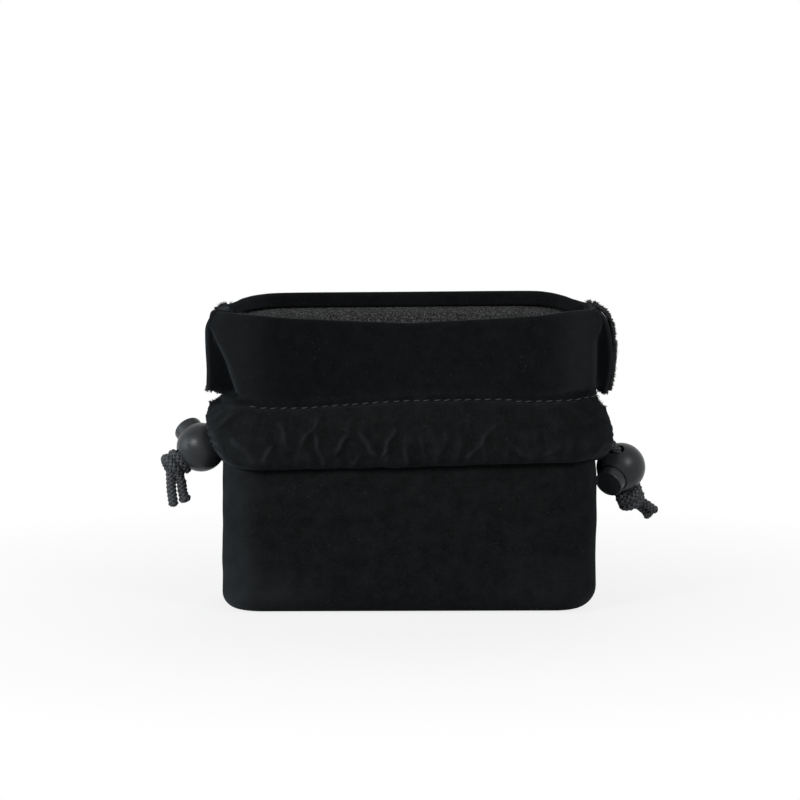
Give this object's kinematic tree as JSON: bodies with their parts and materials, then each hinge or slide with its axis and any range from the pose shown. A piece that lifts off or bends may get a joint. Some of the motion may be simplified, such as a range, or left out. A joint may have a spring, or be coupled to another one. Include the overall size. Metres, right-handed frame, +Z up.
{
  "type": "drawstring camera pouch",
  "caption": "Padded velvet pouch with a flat base, a drawcord channel under a flared collar, and a ball-shaped spring cord lock at each side.",
  "frame": {"origin": "middle of the flat base, on the surface that the pouch stands on", "axes": "+X to the pouch's right as seen from the front, +Y from front to back, +Z up out of the base"},
  "size_m": [0.1581, 0.0572, 0.095],
  "materials": {
    "velvet": "short-pile black velvet",
    "lining": "grey speckled padded lining",
    "thread": "grey sewing thread",
    "cord": "braided dark grey cord",
    "lock_plastic": "satin dark grey moulded plastic",
    "spring_steel": "drawn spring wire"
  },
  "bodies": {
    "bag": {"front_shell": "velvet", "back_shell": "velvet", "base_panel": "velvet", "front_lining": "lining", "back_lining": "lining", "base_pad": "lining", "left_collar": "velvet", "left_upper_lining": "lining", "left_channel_front": "velvet", "left_channel_back": "velvet", "right_collar": "velvet", "right_upper_lining": "lining", "right_channel_front": "velvet", "right_channel_back": "velvet", "left_drawcord": "cord", "right_drawcord": "cord"},
    "front_mouth": {"front_channel": "velvet", "front_collar": "velvet", "front_upper_lining": "lining", "front_topstitch": "thread"},
    "back_mouth": {"back_channel": "velvet", "back_collar": "velvet", "back_upper_lining": "lining", "back_topstitch": "thread"},
    "left_lock": {"left_lock_ball": "lock_plastic", "left_lock_spring": "spring_steel"},
    "left_button": {"left_lock_button": "lock_plastic"},
    "left_cord_end": {"left_knot": "cord", "left_strand_front": "cord", "left_strand_back": "cord", "left_tail_long": "cord", "left_tail_short": "cord"},
    "right_lock": {"right_lock_ball": "lock_plastic", "right_lock_spring": "spring_steel"},
    "right_button": {"right_lock_button": "lock_plastic"},
    "right_cord_end": {"right_knot": "cord", "right_strand_front": "cord", "right_strand_back": "cord", "right_tail_long": "cord", "right_tail_short": "cord"}
  },
  "joints": [
    {"name": "front_mouth_lean", "type": "hinge", "parent": "bag", "child": "front_mouth", "pos_m": [0, -0.0184, 0.04545], "axis": [-1, 0, 0], "range_deg": [0, 24], "deforming": ["left_drawcord", "right_drawcord"]},
    {"name": "back_mouth_lean", "type": "hinge", "parent": "bag", "child": "back_mouth", "pos_m": [0, 0.0184, 0.04545], "axis": [1, 0, 0], "range_deg": [0, 24], "deforming": ["left_drawcord", "right_drawcord"]},
    {"name": "left_lock_slide", "type": "slide", "parent": "bag", "child": "left_lock", "axis": [-1, 0, 0], "range_m": [0, 0.022]},
    {"name": "right_lock_slide", "type": "slide", "parent": "bag", "child": "right_lock", "axis": [1, 0, 0], "range_m": [0, 0.022]},
    {"name": "left_button_press", "type": "slide", "parent": "left_lock", "child": "left_button", "axis": [0.4894, -0.6691, -0.5593], "range_m": [0, 0.0024], "stiffness_N_per_m": 900, "springref_m": -0.002, "deforming": ["left_lock_spring"]},
    {"name": "right_button_press", "type": "slide", "parent": "right_lock", "child": "right_button", "axis": [0.4502, 0.7553, 0.4762], "range_m": [0, 0.0024], "stiffness_N_per_m": 900, "springref_m": -0.002, "deforming": ["right_lock_spring"]},
    {"name": "left_cord_draw", "type": "slide", "parent": "left_lock", "child": "left_cord_end", "axis": [-0.8399, -0.189, -0.5088], "range_m": [0, 0.025]},
    {"name": "right_cord_draw", "type": "slide", "parent": "right_lock", "child": "right_cord_end", "axis": [0.3064, 0.3703, -0.8769], "range_m": [0, 0.025]}
  ],
  "couplings": [
    {"joint": "back_mouth_lean", "follows": "front_mouth_lean", "ratio": 1},
    {"joint": "left_cord_draw", "follows": "front_mouth_lean", "m_per_rad": 0.0596},
    {"joint": "right_cord_draw", "follows": "front_mouth_lean", "m_per_rad": 0.0596}
  ]
}
